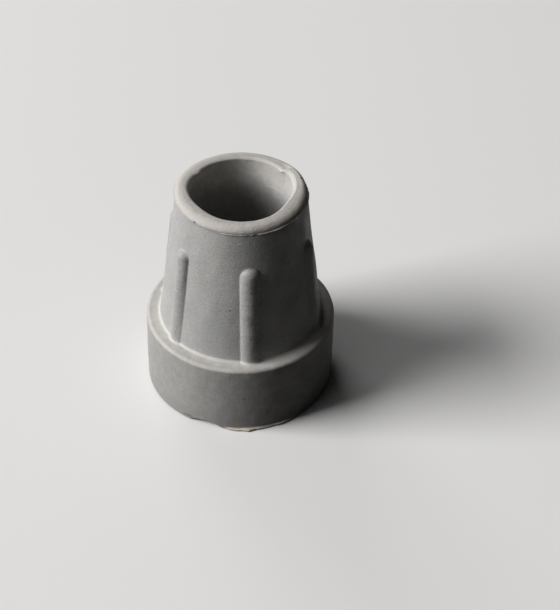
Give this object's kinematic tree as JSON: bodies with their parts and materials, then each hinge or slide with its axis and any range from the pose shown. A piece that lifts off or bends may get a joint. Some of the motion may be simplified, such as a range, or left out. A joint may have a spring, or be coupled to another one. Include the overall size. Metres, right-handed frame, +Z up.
{
  "type": "rubber cane tip",
  "caption": "Grey rubber cane tip: a blind bore in a ribbed conical neck, on a wide round foot with a grooved sole.",
  "frame": {"origin": "centre of the sole, on the plane of the ground", "axes": "+Z up the bore's axis, out of the mouth; -Y is the front, and a wide rib lies on it"},
  "size_m": [0.0356, 0.0356, 0.043],
  "materials": {
    "grey_rubber": "matte grey moulded rubber, dusty and lightly stained"
  },
  "bodies": {
    "root": {"cane_tip": "grey_rubber"}
  },
  "joints": []
}
